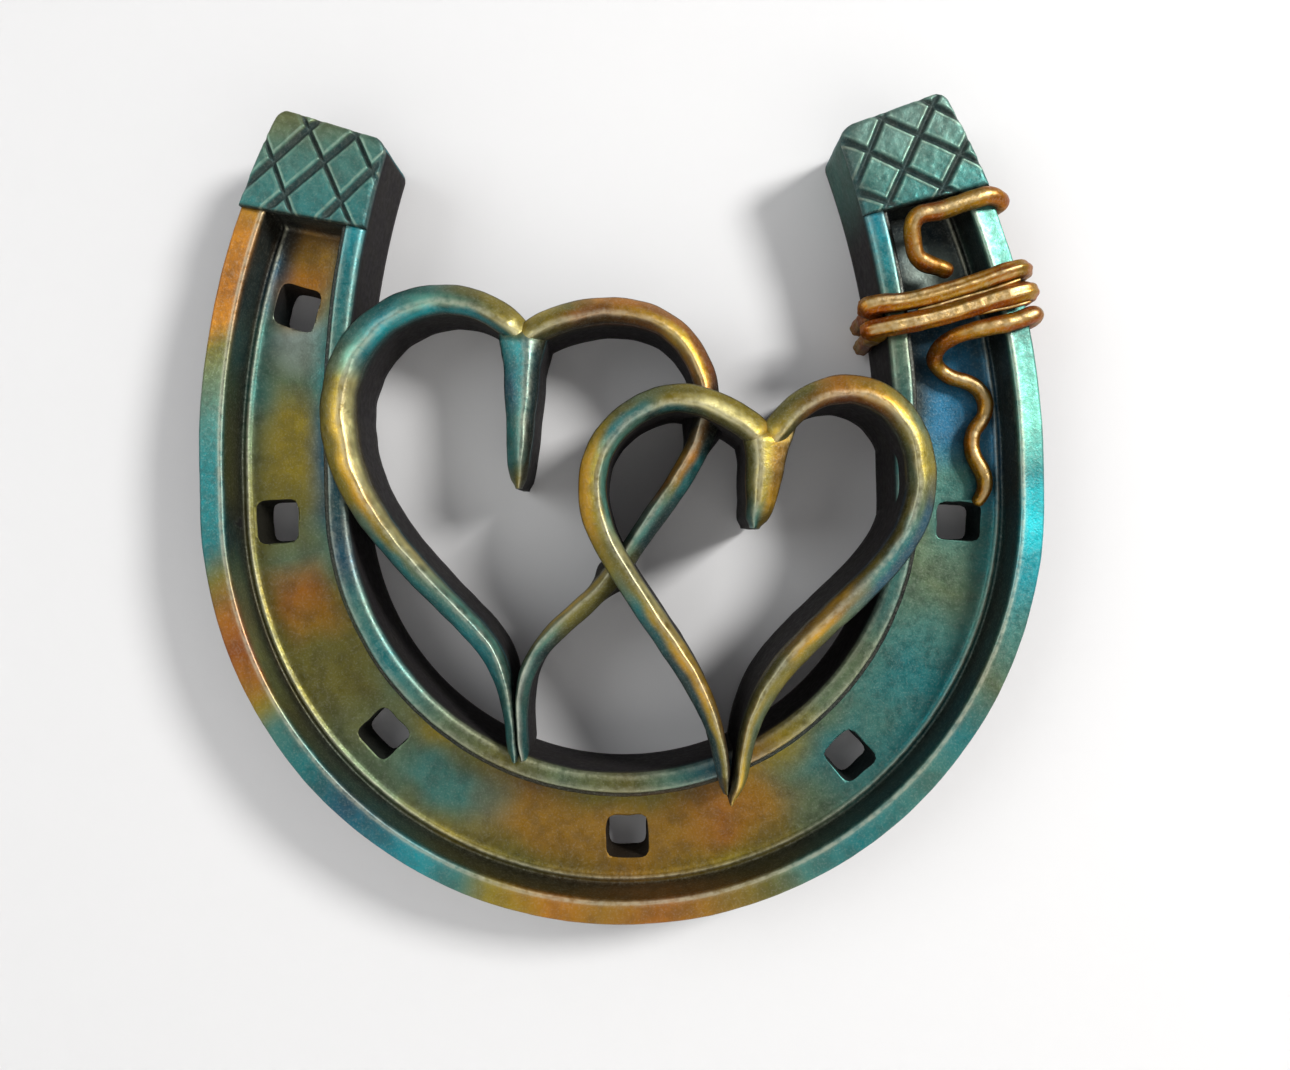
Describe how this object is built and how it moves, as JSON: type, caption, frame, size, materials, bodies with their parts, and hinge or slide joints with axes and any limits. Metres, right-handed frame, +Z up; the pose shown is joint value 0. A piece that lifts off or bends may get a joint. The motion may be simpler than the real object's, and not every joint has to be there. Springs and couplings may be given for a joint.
{
  "type": "decorative horseshoe",
  "caption": "Wall-hanging ornamental horseshoe with two interlaced hearts in its opening, crosshatched heel pads and copper wire wrapped round one arm.",
  "frame": {"origin": "centre of the toe's outer arc, on the flat back plane that lies against the wall", "axes": "+Z up towards the heels as it hangs, +Y out of the back into the wall, +X to the right seen from the front"},
  "size_m": [0.1205, 0.018, 0.1165],
  "materials": {
    "shoe_patina": "satin",
    "pad_patina": "satin",
    "left_heart_patina": "satin",
    "right_heart_patina": "satin",
    "copper_wire": "satin"
  },
  "bodies": {
    "root": {"shoe_body": "shoe_patina", "heel_pad_left": "pad_patina", "heel_pad_right": "pad_patina", "left_heart_left_bar": "left_heart_patina", "left_heart_right_bar": "left_heart_patina", "left_heart_spike": "left_heart_patina", "right_heart_left_bar": "right_heart_patina", "right_heart_right_bar": "right_heart_patina", "right_heart_spike": "right_heart_patina", "wire_hook": "copper_wire", "wire_turn_top": "copper_wire", "wire_turn_middle": "copper_wire", "wire_tail": "copper_wire", "thin_strand_upper": "copper_wire", "thin_strand_lower": "copper_wire"}
  },
  "joints": []
}
